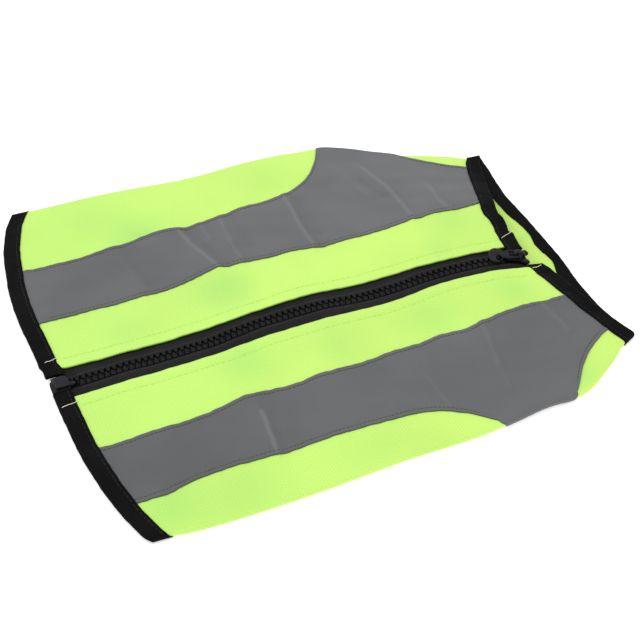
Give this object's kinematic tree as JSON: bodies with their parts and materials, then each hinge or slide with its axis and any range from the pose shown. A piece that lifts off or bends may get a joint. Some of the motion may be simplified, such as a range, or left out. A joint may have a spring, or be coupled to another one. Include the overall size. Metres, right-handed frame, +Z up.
{
  "type": "dog safety vest",
  "caption": "Zipped mesh safety vest for a small dog, laid flat with its back up, with reflective strips and bound edges.",
  "frame": {"origin": "on the surface that the vest lies on, under the middle of its bounding box", "axes": "+X along the zip from the hem to the neck, +Y to the wearer's left, +Z up from the surface"},
  "size_m": [0.2755, 0.2383, 0.0123],
  "materials": {
    "neon_mesh": "matt fluorescent yellow-green polyester mesh",
    "reflective_strip": "grey reflective coated cloth, satin",
    "black_binding": "matt black ribbed tape",
    "zip_tape": "matt black woven tape",
    "zip_plastic": "satin black moulded plastic"
  },
  "bodies": {
    "vest": {"panel_left": "neon_mesh", "panel_right": "neon_mesh", "belly_panel": "neon_mesh", "strip_left": "reflective_strip", "strip_right": "reflective_strip", "hem_binding": "black_binding", "neck_binding": "black_binding", "leg_binding_left": "black_binding", "leg_binding_right": "black_binding", "zip_tape_left": "zip_tape", "zip_tape_right": "zip_tape", "zip_chain": "zip_plastic", "zip_box": "zip_plastic", "zip_slider": "zip_plastic"},
    "pull": {"zip_pull": "zip_plastic"}
  },
  "joints": [
    {"name": "pull_hinge", "type": "hinge", "parent": "vest", "child": "pull", "pos_m": [0.10926, -0.02414, 0.00992], "axis": [0.3239, 0.9461, 0], "range_deg": [0, 150]}
  ]
}
